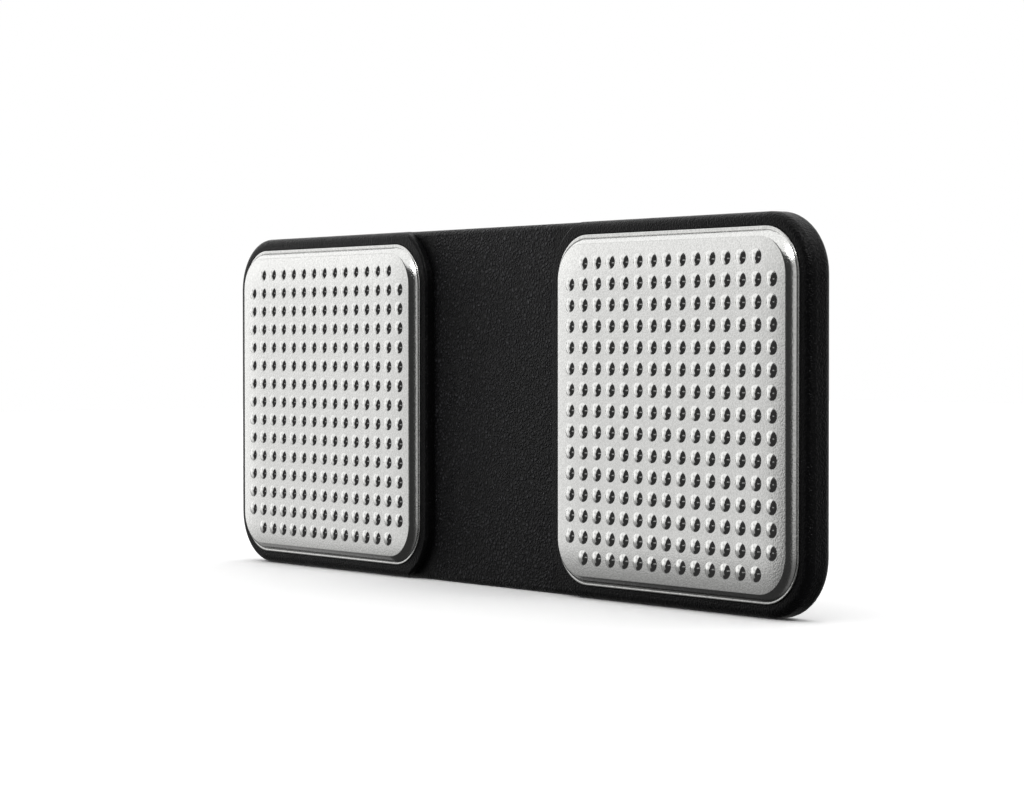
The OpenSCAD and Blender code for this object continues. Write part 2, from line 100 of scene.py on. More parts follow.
def linear(hex_colour: str, alpha: float = 1.0) -> Colour:
    """Turns an sRGB hex colour into the linear colour that a shader socket takes.

    Args:
        hex_colour: The colour, such as "#1d1d1f".
        alpha: The fourth number of the result.

    Returns:
        The linear red, green and blue, and alpha.
    """
    parts = [int(hex_colour[i : i + 2], 16) / 255 for i in (1, 3, 5)]
    red, green, blue = [c / 12.92 if c <= 0.04045 else ((c + 0.055) / 1.055) ** 2.4 for c in parts]
    return red, green, blue, alpha


def add(
    tree: Tree, kind: str, inputs: dict[str | int, object] | None = None, **settings: object
) -> bpy.types.Node:
    """Adds a node with its settings, values and links.

    Args:
        tree: The node tree that gets the node.
        kind: The node's type, such as "ShaderNodeMath".
        inputs: For each input, by name or number, a value or the output that links to it.
        settings: The node's own properties.

    Returns:
        The new node.
    """
    node = tree.nodes.new(kind)
    for name, value in settings.items():
        setattr(node, name, value)
    for key, value in (inputs or {}).items():
        if isinstance(value, bpy.types.NodeSocket):
            tree.links.new(value, node.inputs[key])
        else:
            node.inputs[key].default_value = value
    return node


def new_material(name: str) -> tuple[bpy.types.Material, Tree]:
    """Makes a material with an empty node tree.

    Args:
        name: The material's name.

    Returns:
        The material and its node tree.
    """
    material = bpy.data.materials.new(name)
    material.use_nodes = True
    material.node_tree.nodes.clear()
    return material, material.node_tree


# ---------------------------------------------------------------- finishes


@dataclass(frozen=True)
class Finish:
    """A finish: a shader whose colour, gloss and relief vary over the surface.

    Lengths are in millimetres. The patterns are placed by the piece's own coordinates, which
    are the row frame's at rest, so a pattern stays on its piece when the piece moves. Cloudy
    noise keeps mostly between cloud_low and cloud_high.
    """

    name: str
    colour: str
    second_colour: str
    roughness: float
    roughness_spread: float = 0.05
    metallic: float = 0.0
    specular: float = 0.5
    grain: float = 0.2
    grain_depth: float = 0.004
    colour_cloud: float = 4.0
    gloss_cloud: float = 4 / 3
    cloud_low: float = 0.3
    cloud_high: float = 0.7

    def noise(self, tree: Tree, place: Socket, size: float, detail: float = 2.0) -> Socket:
        """Adds cloudy noise.

        Args:
            tree: The material's node tree.
            place: The coordinates.
            size: The width of the noise's largest spots.
            detail: How many times finer noise is added.

        Returns:
            The noise, about 0 to 1.
        """
        inputs = {"Vector": place, "Scale": 1 / (size * MM), "Detail": detail}
        return add(tree, "ShaderNodeTexNoise", inputs).outputs["Fac"]

    def height(self, tree: Tree, place: Socket) -> Socket:
        """Returns the relief of the surface, 0 to 1 over grain_depth."""
        return self.noise(tree, place, self.grain)

    def share(self, tree: Tree, place: Socket) -> Socket:
        """Returns the second colour's share, 0 to 1: soft clouds."""
        return self.noise(tree, place, self.colour_cloud)

    def tint(self, tree: Tree, place: Socket) -> Socket:
        """Mixes the finish's two colours.

        Args:
            tree: The material's node tree.
            place: The coordinates.

        Returns:
            The colour.
        """
        inputs = {
            Mix.FACTOR: self.share(tree, place),
            Mix.FIRST_COLOUR: linear(self.colour),
            Mix.SECOND_COLOUR: linear(self.second_colour),
        }
        return add(tree, "ShaderNodeMix", inputs, data_type="RGBA").outputs[MIXED_COLOUR]

    def gloss(self, tree: Tree, place: Socket) -> Socket:
        """Varies the roughness in clouds about its mean.

        Args:
            tree: The material's node tree.
            place: The coordinates.

        Returns:
            The roughness.
        """
        limits = {
            "Value": self.noise(tree, place, self.gloss_cloud),
            "From Min": self.cloud_low,
            "From Max": self.cloud_high,
            "To Min": self.roughness - self.roughness_spread,
            "To Max": self.roughness + self.roughness_spread,
        }
        return add(tree, "ShaderNodeMapRange", limits).outputs["Result"]

    def build(self) -> bpy.types.Material:
        """Builds the finish.

        Returns:
            The finish as a material.
        """
        material, tree = new_material(self.name)
        place = add(tree, "ShaderNodeTexCoord").outputs["Object"]
        relief = {"Height": self.height(tree, place), "Distance": self.grain_depth * MM}
        inputs = {
            "Base Color": self.tint(tree, place),
            "Roughness": self.gloss(tree, place),
            "Normal": add(tree, "ShaderNodeBump", relief).outputs["Normal"],
            "Metallic": self.metallic,
            "Specular IOR Level": self.specular,
        }
        shader = add(tree, "ShaderNodeBsdfPrincipled", inputs)
        add(tree, "ShaderNodeOutputMaterial", {"Surface": shader.outputs["BSDF"]})
        return material


@dataclass(frozen=True)
class LeatherGrainedAbs(Finish):
    """Black ABS from a mould with a leather grain in the recessed middle and a finer one round it.

    The leather grain ends middle_reach to each side of X = 0 and at front_depth along Y, and
    goes over to the fine grain in the last stretch, blend wide. Heights are in parts of
    grain_depth: a pebble stands pebble_height above its creases. The colour follows the
    height: it paints shade into the creases and a highlight on the tops of the grain.
    """

    pebble: float = 0.36
    pebble_wander: float = 0.8
    pebble_height: float = 1.3
    wander_detail: float = 2.0
    crease_end: float = 0.45
    middle_reach: float = 9.0
    front_depth: float = 0.8
    blend: float = 0.6
    painted_shade_height: float = 0.6
    painted_highlight_height: float = 1.84

    def fade(self, tree: Tree, value: Socket, end: float) -> Socket:
        """Returns a soft step from 0 to 1 that ends where the value reaches end."""
        limits = {"Value": value, "From Min": (end - self.blend) * MM, "From Max": end * MM}
        return add(tree, "ShaderNodeMapRange", limits, interpolation_type="SMOOTHSTEP").outputs["Result"]

    def pebbles(self, tree: Tree, place: Socket) -> Socket:
        """Adds crumpled pebbles.

        Args:
            tree: The material's node tree.
            place: The coordinates.

        Returns:
            0 in the pebbles' creases and 1 on their tops.
        """
        scale = 1 / (self.pebble * MM)
        cloud = {"Vector": place, "Scale": scale, "Detail": self.wander_detail}
        wander = add(tree, "ShaderNodeTexNoise", cloud).outputs["Color"]
        reach = {0: wander, "Scale": self.pebble_wander * self.pebble * MM}
        offset = add(tree, "ShaderNodeVectorMath", reach, operation="SCALE").outputs["Vector"]
        moved = add(tree, "ShaderNodeVectorMath", {0: place, 1: offset}).outputs["Vector"]
        pattern = {"Vector": moved, "Scale": scale}
        cells = add(tree, "ShaderNodeTexVoronoi", pattern, feature="DISTANCE_TO_EDGE")
        limits = {"Value": cells.outputs["Distance"], "From Max": self.crease_end}
        return add(tree, "ShaderNodeMapRange", limits, interpolation_type="SMOOTHSTEP").outputs["Result"]

    def height(self, tree: Tree, place: Socket) -> Socket:
        """Lays pebbles over the fine grain in the middle.

        Args:
            tree: The material's node tree.
            place: The coordinates.

        Returns:
            The relief, in parts of grain_depth.
        """
        fine = self.noise(tree, place, self.grain)
        rise = {0: self.pebbles(tree, place), 1: self.pebble_height}
        pebbles = add(tree, "ShaderNodeMath", rise, operation="MULTIPLY").outputs[0]
        both = add(tree, "ShaderNodeMath", {0: pebbles, 1: fine}).outputs[0]
        x, y, _ = add(tree, "ShaderNodeSeparateXYZ", {0: place}).outputs
        reach = add(tree, "ShaderNodeMath", {0: x}, operation="ABSOLUTE").outputs[0]
        ends = {0: self.fade(tree, reach, self.middle_reach), 1: self.fade(tree, y, self.front_depth)}
        outside = add(tree, "ShaderNodeMath", ends, operation="MAXIMUM").outputs[0]
        grains = {Mix.FACTOR: outside, Mix.FIRST: both, Mix.SECOND: fine}
        return add(tree, "ShaderNodeMix", grains).outputs[0]

    def share(self, tree: Tree, place: Socket) -> Socket:
        """Paints shade into the grain's creases and a highlight on its tops, by the relief's height.

        Args:
            tree: The material's node tree.
            place: The coordinates.

        Returns:
            The second colour's share, 0 to 1.
        """
        height = self.height(tree, place)
        # Painted shade in the creases and painted highlight on the tops, from the relief's height.
        limits = {"Value": height, "From Min": self.painted_shade_height, "From Max": self.painted_highlight_height}
        return add(tree, "ShaderNodeMapRange", limits).outputs["Result"]


@dataclass(frozen=True)
class BlastedSteel(Finish):
    """Stainless sheet, bead-blasted after pressing: tiny even dimples that blur what it mirrors.

    The press draws the sheet down a little round its edges: from edge_start out from the
    middle, the flat turns outwards, by edge_turn degrees at edge_reach, where the roll begins.
    Nothing is drawn down along Y, so there the start is no_edge away, out of reach. The dots
    are smoother than the flat: the dimples fade out between polish_start and polish_full
    above it.
    """

    edge_turn: float = 5.0
    edge_start: float = 10.6
    edge_reach: float = 14.05
    no_edge: float = 1000.0
    polish_start: float = 0.015
    polish_full: float = 0.05
    polished_roughness: float = 0.13
    dimple_detail: float = 1.0
    mean_dimple: float = 0.5

    def polish(self, tree: Tree, place: Socket) -> Socket:
        """Tells the dots from the flat.

        Args:
            tree: The material's node tree.
            place: The coordinates.

        Returns:
            1 on the dots and 0 on the flat.
        """
        limits = {
            "Value": add(tree, "ShaderNodeSeparateXYZ", {0: place}).outputs["Y"],
            "From Min": (FLAT_Y - self.polish_full) * MM,
            "From Max": (FLAT_Y - self.polish_start) * MM,
            "To Min": 1.0,
            "To Max": 0.0,
        }
        return add(tree, "ShaderNodeMapRange", limits, interpolation_type="SMOOTHSTEP").outputs["Result"]

    def dimples(self, tree: Tree, place: Socket) -> Socket:
        """Adds the dimples of the blasting, which are gone from the dots.

        Args:
            tree: The material's node tree.
            place: The coordinates.

        Returns:
            The dimples, about 0 to 1 on the flat, and their mean on the dots.
        """
        noise = self.noise(tree, place, self.grain, self.dimple_detail)
        ends = {Mix.FACTOR: self.polish(tree, place), Mix.FIRST: noise, Mix.SECOND: self.mean_dimple}
        return add(tree, "ShaderNodeMix", ends).outputs[0]

    def share(self, tree: Tree, place: Socket) -> Socket:
        """Returns the second colour's share: a dimple's sides are a little darker than its floor."""
        return self.dimples(tree, place)

    def gloss(self, tree: Tree, place: Socket) -> Socket:
        """Varies the roughness: satin on the flat, and smoother on the dots.

        Args:
            tree: The material's node tree.
            place: The coordinates.

        Returns:
            The roughness.
        """
        ends = {
            Mix.FACTOR: self.polish(tree, place),
            Mix.FIRST: super().gloss(tree, place),
            Mix.SECOND: self.polished_roughness,
        }
        return add(tree, "ShaderNodeMix", ends).outputs[0]

    def past_start(self, tree: Tree, place: Socket) -> Socket:
        """Measures how far a place is into the drawn-down edges, alike on both electrodes.

        Args:
            tree: The material's node tree.
            place: The coordinates.

        Returns:
            The distance past edge_start along X and along Z, as a vector.
        """
        middle = (ELECTRODE_X * MM, 0.0, MIDDLE_Z * MM)
        start = (self.edge_start * MM, self.no_edge * MM, self.edge_start * MM)
        steps = (
            ("ABSOLUTE", {}),
            ("SUBTRACT", {1: middle}),
            ("ABSOLUTE", {}),
            ("SUBTRACT", {1: start}),
            ("MAXIMUM", {1: (0.0, 0.0, 0.0)}),
        )
        for operation, second in steps:
            node = add(tree, "ShaderNodeVectorMath", {0: place, **second}, operation=operation)
            place = node.outputs["Vector"]
        return place

    def height(self, tree: Tree, place: Socket) -> Socket:
        """Lays the dimples over the drawn-down edges.

        Args:
            tree: The material's node tree.
            place: The coordinates.

        Returns:
            The relief, in parts of grain_depth.
        """
        past = self.past_start(tree, place)
        square = add(tree, "ShaderNodeVectorMath", {0: past, 1: past}, operation="DOT_PRODUCT")
        slope = math.tan(math.radians(self.edge_turn))
        fall = -slope / (2 * (self.edge_reach - self.edge_start) * self.grain_depth * MM**2)
        drawing = {0: square.outputs["Value"], 1: fall}
        drawn = add(tree, "ShaderNodeMath", drawing, operation="MULTIPLY").outputs[0]
        return add(tree, "ShaderNodeMath", {0: self.dimples(tree, place), 1: drawn}).outputs[0]


@dataclass(frozen=True)
class BrushedMetal(Finish):
    """Rolled or brushed metal: fine streaks along X."""

    stretch: float = 12.0

    def height(self, tree: Tree, place: Socket) -> Socket:
        """Adds the streaks, as noise stretched along X.

        Args:
            tree: The material's node tree.
            place: The coordinates.

        Returns:
            The relief, 0 to 1 over grain_depth.
        """
        squeeze = {0: place, 1: (1 / self.stretch, 1.0, 1.0)}
        streaks = add(tree, "ShaderNodeVectorMath", squeeze, operation="MULTIPLY").outputs["Vector"]
        return self.noise(tree, streaks, self.grain)


@dataclass(frozen=True)
class TurnedSteel(Finish):
    """Nickel-plated steel of a pressed cell: faint rings round the cell's axis."""

    def height(self, tree: Tree, place: Socket) -> Socket:
        """Adds rings about the cell's axis.

        Args:
            tree: The material's node tree.
            place: The coordinates.

        Returns:
            The relief, 0 to 1 over grain_depth.
        """
        axis = (ELECTRODE_X * MM, 0.0, MIDDLE_Z * MM)
        about = add(tree, "ShaderNodeVectorMath", {0: place, 1: axis}, operation="SUBTRACT")
        level = {0: about.outputs["Vector"], 1: (1.0, 0.0, 1.0)}
        flat = add(tree, "ShaderNodeVectorMath", level, operation="MULTIPLY")
        radius = add(tree, "ShaderNodeVectorMath", {0: flat.outputs["Vector"]}, operation="LENGTH")
        ring = add(tree, "ShaderNodeCombineXYZ", {"X": radius.outputs["Value"]})
        return self.noise(tree, ring.outputs["Vector"], self.grain)


@dataclass(frozen=True)
class FoamCells(Finish):
    """Open-cell foam, cut from sheet: small round pores."""

    def height(self, tree: Tree, place: Socket) -> Socket:
        """Returns the pores."""
        inputs = {"Vector": place, "Scale": 1 / (self.grain * MM)}
        return add(tree, "ShaderNodeTexVoronoi", inputs).outputs["Distance"]


@dataclass(frozen=True)
class SolderMask(Finish):
    """Glass-fibre board under green solder mask: raised copper tracks show as lighter lines.

    The tracks are the joints of a brick pattern, whose courses are track_pitch high. A unit of
    the pattern holds rows_per_unit courses, and a joint takes track_share of a unit from the
    edge of each brick.
    """

    track_pitch: float = 0.8
    rows_per_unit: int = 4
    track_share: float = 0.03

    def height(self, tree: Tree, place: Socket) -> Socket:
        """Adds the tracks under the mask.

        Args:
            tree: The material's node tree.
            place: The coordinates.

        Returns:
            1 on the tracks and 0 between them.
        """
        laid = {"Vector": place, "Rotation": (math.pi / 2, 0.0, 0.0)}
        inputs = {
            "Vector": add(tree, "ShaderNodeMapping", laid).outputs["Vector"],
            "Scale": 1 / (self.rows_per_unit * self.track_pitch * MM),
            "Mortar Size": self.track_share,
        }
        return add(tree, "ShaderNodeTexBrick", inputs).outputs["Fac"]

    def share(self, tree: Tree, place: Socket) -> Socket:
        """Returns the second colour's share: the mask is lighter over copper."""
        return self.height(tree, place)


# Black ABS as moulded: matt, with only a faint sheen, since the tool's texture scatters it.
# Its two colours follow the grain's height: painted shade in the creases, painted highlight on the tops.
HOUSING_ABS = LeatherGrainedAbs(
    "leather_grained_black_abs", "#0c0c0d", "#3c3c3f", 0.32, 0.04, specular=0.1, grain=0.17, grain_depth=0.1
)
# The cover and door come from a spark-eroded tool: an even, very fine sandy texture.
COVER_ABS = Finish("spark_eroded_black_abs", "#17171a", "#1f1f22", 0.42, 0.05, grain=0.2, grain_depth=0.05)
# Blasted stainless steel: bright and satin, mirroring only broad areas of light and dark. A
# real blast leaves finer dimples than these, which are as wide as they need to be to show.
ELECTRODE_STEEL = BlastedSteel(
    "bead_blasted_stainless_steel",
    "#f2f2f0",
    "#c8c8c6",
    0.2,
    0.015,
    metallic=1.0,
    grain=0.16,
    grain_depth=0.008,
)
# Acrylic transfer tape: milky and slightly tacky.
TAPE = Finish("milky_acrylic_tape", "#d9d3bf", "#cfc8b2", 0.35, 0.08, grain=0.5, grain_depth=0.01)
# Dark polyurethane foam: matt, with pores drawn big enough to see.
FOAM = FoamCells(
    "dark_open_cell_foam", "#3a3a3c", "#2c2c2e", 0.9, 0.05, specular=0.2, grain=0.35, grain_depth=0.12
)
# Gold-plated spring bronze strip, with the streaks of rolling.
BRONZE = BrushedMetal(
    "gold_plated_spring_bronze", "#d8ad5c", "#c99c4c", 0.28, 0.06, metallic=1.0, grain=0.08
)
# Green solder mask over glass-fibre laminate: glossy, with lighter copper tracks.
BOARD = SolderMask("green_solder_mask", "#145235", "#2a7a50", 0.28, 0.06, grain_depth=0.03)
# Black epoxy chip packages: matt, with the fine grain of the transfer mould.
CHIP = Finish("moulded_black_epoxy", "#222224", "#2b2b2d", 0.6, 0.08, grain=0.08, grain_depth=0.01)
# Nickel-plated lid of a crystal can: bright with rolling streaks.
CRYSTAL = BrushedMetal(
    "nickel_plated_kovar", "#cfc9bc", "#bdb7ab", 0.24, 0.06, metallic=1.0, grain=0.06, grain_depth=0.003
)
# Sintered capacitor ceramic: warm grey-brown and slightly glazed.
CAPACITOR = Finish(
    "sintered_capacitor_ceramic", "#9a7a5a", "#8a6b4e", 0.4, 0.1, grain=0.1, grain_depth=0.006
)
# Nickel-plated steel of the coin cell: bright, with faint rings from turning and pressing.
CELL = TurnedSteel(
    "nickel_plated_cell_steel", "#cdcbc6", "#bfbdb8", 0.3, 0.02, metallic=1.0, grain=0.12, grain_depth=0.003
)
# Natural nylon of the cell's sealing ring.
SEAL = Finish("natural_nylon", "#d8d4c6", "#c9c5b6", 0.42, 0.06, grain=0.1)
# Rolled brass of the sounder's plate, slightly tarnished in clouds.
BRASS = BrushedMetal(
    "rolled_brass", "#c8a04c", "#b48c3e", 0.3, 0.08, metallic=1.0, grain=0.07, grain_depth=0.003
)
# Sintered ceramic with a fired silver face.
PIEZO = Finish("silvered_piezo_ceramic", "#e2ddd0", "#d5cfc0", 0.5, 0.08, grain=0.1, grain_depth=0.006)
# Extruded PVC insulation: smooth and slightly waxy.
INSULATION = Finish("red_pvc_insulation", "#8e1d1a", "#7c1815", 0.38, 0.05, grain_depth=0.003)


# ---------------------------------------------------------------- pieces


def dress(node: str, material: bpy.types.Material) -> None:
    """Gives a CAD node a material.

    Args:
        node: The node's name.
        material: What it is finished in.
    """
    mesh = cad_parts[node].data
    mesh.materials.clear()
    mesh.materials.append(material)
    log.info("dressed %s in %s", node, material.name)


def make_piece(
    name: str, vertices: np.ndarray, faces: list[tuple[int, ...]], material: bpy.types.Material
) -> bpy.types.Object:
    """Makes a mesh piece from vertices in millimetres.

    Args:
        name: The piece's name.
        vertices: One row of x, y and z for each vertex, in the row frame.
        faces: The vertex numbers of each face.
        material: What it is finished in.

    Returns:
        The new object, linked to the scene.
    """
    mesh = bpy.data.meshes.new(name)
    mesh.from_pydata((vertices * MM).tolist(), [], faces)
    mesh.materials.append(material)
    piece = bpy.data.objects.new(name, mesh)
    bpy.context.scene.collection.objects.link(piece)
    return piece


@dataclass
class ElectrodeShell:
    """A pressed steel electrode: a pan of thin sheet with a rolled rim and a square of dots.

    It is built about its own centre, with u along X, w along Z and h out of its face, and
    then set in the place of the CAD node. Lengths are in millimetres and angles in degrees.
    Its side and its place are the CAD node's.
    """

    node: str
    name: str
    pitch: float = 1.78
    dots_across: int = 15
    dot_height: float = 0.2
    dot_foot: float = 0.65
    foot_fillet: float = 0.08
    foot_margin: float = 0.03
    corner_radius: float = 3.85
    sheet: float = 0.3
    rim_depth: float = 0.85
    lip_width: float = 0.2
    lip_drop: float = 0.66
    lip_rise: float = 0.03
    roll_width: float = 0.6
    roll_margin: float = 0.06
    roll_start: float = 30.0
    roll_end: float = 62.0
    segments: int = 24
    cap_rings: int = 4
    fillet_rings: int = 2
    roll_steps: int = 12
    corner_steps: int = 14
    weld_reach: float = 0.002
    level_slack: float = 0.0001
    side: float = field(init=False)
    centre: tuple[float, float] = field(init=False)
    flat_y: float = field(init=False)
    vertices: list[Point] = field(default_factory=list)
    faces: list[tuple[int, ...]] = field(default_factory=list)

    def __post_init__(self) -> None:
        """Takes the electrode's side and place from the CAD node."""
        low, high = (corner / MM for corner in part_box(self.node))
        self.side = high.x - low.x
        self.centre = ((low.x + high.x) / 2, (low.z + high.z) / 2)
        self.flat_y = low.y + self.dot_height

    def dot_profile(self) -> list[tuple[float, float]]:
        """Works out a dot: a ball's cap with a filleted foot.

        Returns:
            The radius and height of each ring, from the top down.
        """
        slope = 2 * math.atan(self.dot_height / self.dot_foot)
        cap_radius = self.dot_foot / math.sin(slope) - self.foot_fillet
        rings = []
        for step in range(1, self.cap_rings + 1):
            angle = slope * step / self.cap_rings
            height = self.dot_height - cap_radius * (1 - math.cos(angle))
            rings.append((cap_radius * math.sin(angle), height))
        for step in range(1, self.fillet_rings + 1):
            angle = slope * (1 - step / self.fillet_rings)
            radius = self.dot_foot - self.foot_fillet * math.sin(angle)
            rings.append((radius, self.foot_fillet * (1 - math.cos(angle))))
        rings.append((self.dot_foot + self.foot_margin, 0.0))
        return rings

    def add_ring(self, points: list[Point]) -> list[int]:
        """Adds a ring of points.

        Args:
            points: Their u, w and h.

        Returns:
            Their vertex numbers.
        """
        start = len(self.vertices)
        self.vertices.extend(points)
        return list(range(start, start + len(points)))

    def join_rings(self, inner: list[int], outer: list[int]) -> None:
        """Joins two closed rings of the same length with four-sided faces.

        Args:
            inner: The vertex numbers of one ring.
            outer: The vertex numbers of the ring round it.
        """
        count = len(inner)
        for i in range(count):
            j = (i + 1) % count
            self.faces.append((inner[i], outer[i], outer[j], inner[j]))

    def add_cell(self, u: float, w: float) -> None:
        """Adds one dot and the square of sheet round it.

        Args:
            u: The place of its centre along X.
            w: The place of its centre along Z.
        """
        turns = [2 * math.pi * i / self.segments for i in range(self.segments)]
        ways = [(math.cos(t), math.sin(t)) for t in turns]
        top = self.add_ring([(u, w, self.dot_height)])[0]
        rings = [
            self.add_ring([(u + radius * c, w + radius * s, height) for c, s in ways])
            for radius, height in self.dot_profile()
        ]
        for i in range(self.segments):
            self.faces.append((top, rings[0][i], rings[0][(i + 1) % self.segments]))
        half = self.pitch / 2
        spans = [max(abs(c), abs(s)) for c, s in ways]
        square = [(u + half * c / span, w + half * s / span, 0.0) for span, (c, s) in zip(spans, ways)]
        rings.append(self.add_ring(square))
        for nearer, further in zip(rings, rings[1:]):
            self.join_rings(nearer, further)

    def outline(self, inset: float, height: float) -> list[Point]:
        """Works out a round-cornered square ring.

        Args:
            inset: Its distance in from the electrode's edge.
            height: Its height above the flat.

        Returns:
            The ring's points, anticlockwise seen from the front.
        """
        centre = self.side / 2 - self.corner_radius
        radius = self.corner_radius - inset
        points = []
        for quarter in range(4):
            middle = math.pi * (0.25 + 0.5 * quarter)
            cu, cw = math.copysign(centre, math.cos(middle)), math.copysign(centre, math.sin(middle))
            for step in range(self.corner_steps + 1):
                angle = middle + math.pi / 2 * (step / self.corner_steps - 0.5)
                points.append((cu + radius * math.cos(angle), cw + radius * math.sin(angle), height))
        return points

    def roll_profile(self) -> list[tuple[float, float]]:
        """Works out the rolled rim, which starts at a crease and then bends on.

        Returns:
            The inset and height of each ring, from the flat down.
        """
        turn = self.roll_end - self.roll_start
        shares = [(i + 0.5) / self.roll_steps for i in range(self.roll_steps)]
        tilts = [math.radians(self.roll_start + turn * share) for share in shares]
        across, down = sum(map(math.cos, tilts)), sum(map(math.sin, tilts))
        inset, height = self.lip_width + self.roll_width, 0.0
        profile = [(inset + self.roll_margin, height), (inset, height)]
        for tilt in tilts:
            inset -= self.roll_width * math.cos(tilt) / across
            height -= self.lip_drop * math.sin(tilt) / down
            profile.append((inset, height))
        return profile

    def lip_profile(self) -> list[tuple[float, float]]:
        """Works out the narrow lip at the foot of the roll, turned up a little, and its cut edge.

        Returns:
            The inset and height of each ring, from the roll outwards.
        """
        crest = -self.lip_drop + self.lip_rise
        edge = self.lip_rise / 2
        return [
            (self.lip_width - edge, -self.lip_drop),
            (self.lip_width / 2, -self.lip_drop + edge),
            (edge, crest),
            (0.0, crest - edge),
            (0.0, -self.rim_depth),
            (self.sheet, -self.rim_depth),
        ]

    def add_rim(self) -> None:
        """Adds the rolled rim, its lip and the inside of the pan."""
        outer = self.roll_profile() + self.lip_profile()
        rings = [self.add_ring(self.outline(inset, height)) for inset, height in outer]
        back = self.outline(self.lip_width + self.roll_width + self.sheet, -self.sheet)
        rings.append(self.add_ring(back))
        for nearer, further in zip(rings, rings[1:]):
            self.join_rings(nearer, further)
        self.faces.append(tuple(reversed(rings[-1])))

    def fill_band(self, mesh: bmesh.types.BMesh) -> None:
        """Fills the flat between the dots' squares and the rolled rim.

        Args:
            mesh: The mesh, with its dots and its rim.
        """
        level, slack = self.flat_y * MM, self.level_slack * MM
        open_edges = [edge for edge in mesh.edges if edge.is_boundary]
        flat_edges = [edge for edge in open_edges if all(abs(v.co.y - level) < slack for v in edge.verts)]
        bmesh.ops.triangle_fill(mesh, use_beauty=True, edges=flat_edges)

    def build(self, material: bpy.types.Material, body: Body, slot: str) -> bpy.types.Object:
        """Builds the shell in the place of its CAD node.

        Args:
            material: What it is finished in.
            body: The body it rides on.
            slot: Not used.

        Returns:
            The finished piece.
        """
        last = self.dots_across - 1
        for i in range(self.dots_across):
            for j in range(self.dots_across):
                if not (i in (0, last) and j in (0, last)):
                    self.add_cell((i - last / 2) * self.pitch, (j - last / 2) * self.pitch)
        self.add_rim()
        u, w, h = np.array(self.vertices).T
        places = np.column_stack([self.centre[0] + u, self.flat_y - h, self.centre[1] + w])
        piece = make_piece(self.name, places, self.faces, material)
        mesh = bmesh.new()
        mesh.from_mesh(piece.data)
        bmesh.ops.remove_doubles(mesh, verts=mesh.verts, dist=self.weld_reach * MM)
        self.fill_band(mesh)
        bmesh.ops.recalc_face_normals(mesh, faces=mesh.faces)
        mesh.to_mesh(piece.data)
        mesh.free()
        piece.data.shade_smooth()
        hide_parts(self.node)
        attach(piece, body.value)
        log.info("built %s with %d faces", self.name, len(piece.data.polygons))
        return piece


@dataclass
class Electrodes:
    """The two pressed steel electrodes, which share one finish."""

    finish: Finish = ELECTRODE_STEEL
    slot: str = "electrode_steel"

    def build(self) -> None:
        """Builds both electrodes."""
        steel = self.finish.build()
        for side in Side:
            shell = ElectrodeShell(f"{side.value}_electrode", f"{side.value}_electrode_shell")
            shell.build(steel, Body.HOUSING, self.slot)


@dataclass
class Casing:
    """The plastic shells: the front housing, the rear cover and the battery door."""

    housing: Finish = HOUSING_ABS
    cover: Finish = COVER_ABS

    def build(self) -> None:
        """Dresses the shells."""
        dress("front_housing", self.housing.build())
        cover = self.cover.build()
        dress("rear_cover", cover)
        dress("battery_door", cover)


# What each sprung strip reaches from the board.
CONTACT_ENDS = ("left_electrode", "right_electrode", "positive", "negative")


@dataclass
class Works:
    """The pieces inside: tape, contacts, board, chips, cell and sounder."""

    finishes: tuple[tuple[Finish, tuple[str, ...]], ...] = (
        (TAPE, ("cover_bond", "left_adhesive", "right_adhesive")),
        (FOAM, ("door_pad",)),
        (BRONZE, tuple(f"{end}_contact" for end in CONTACT_ENDS)),
        (BOARD, ("circuit_board",)),
        (CHIP, ("microcontroller", "amplifier")),
        (CRYSTAL, ("timing_crystal",)),
        (CAPACITOR, ("small_components",)),
        (CELL, ("cell_can", "cell_cap")),
        (SEAL, ("cell_seal",)),
        (BRASS, ("sounder_brass",)),
        (PIEZO, ("sounder_ceramic",)),
        (INSULATION, ("sounder_leads",)),
    )

    def build(self) -> None:
        """Dresses each inner piece."""
        for finish, nodes in self.finishes:
            material = finish.build()
            for node in nodes:
                dress(node, material)


# ---------------------------------------------------------------- studio


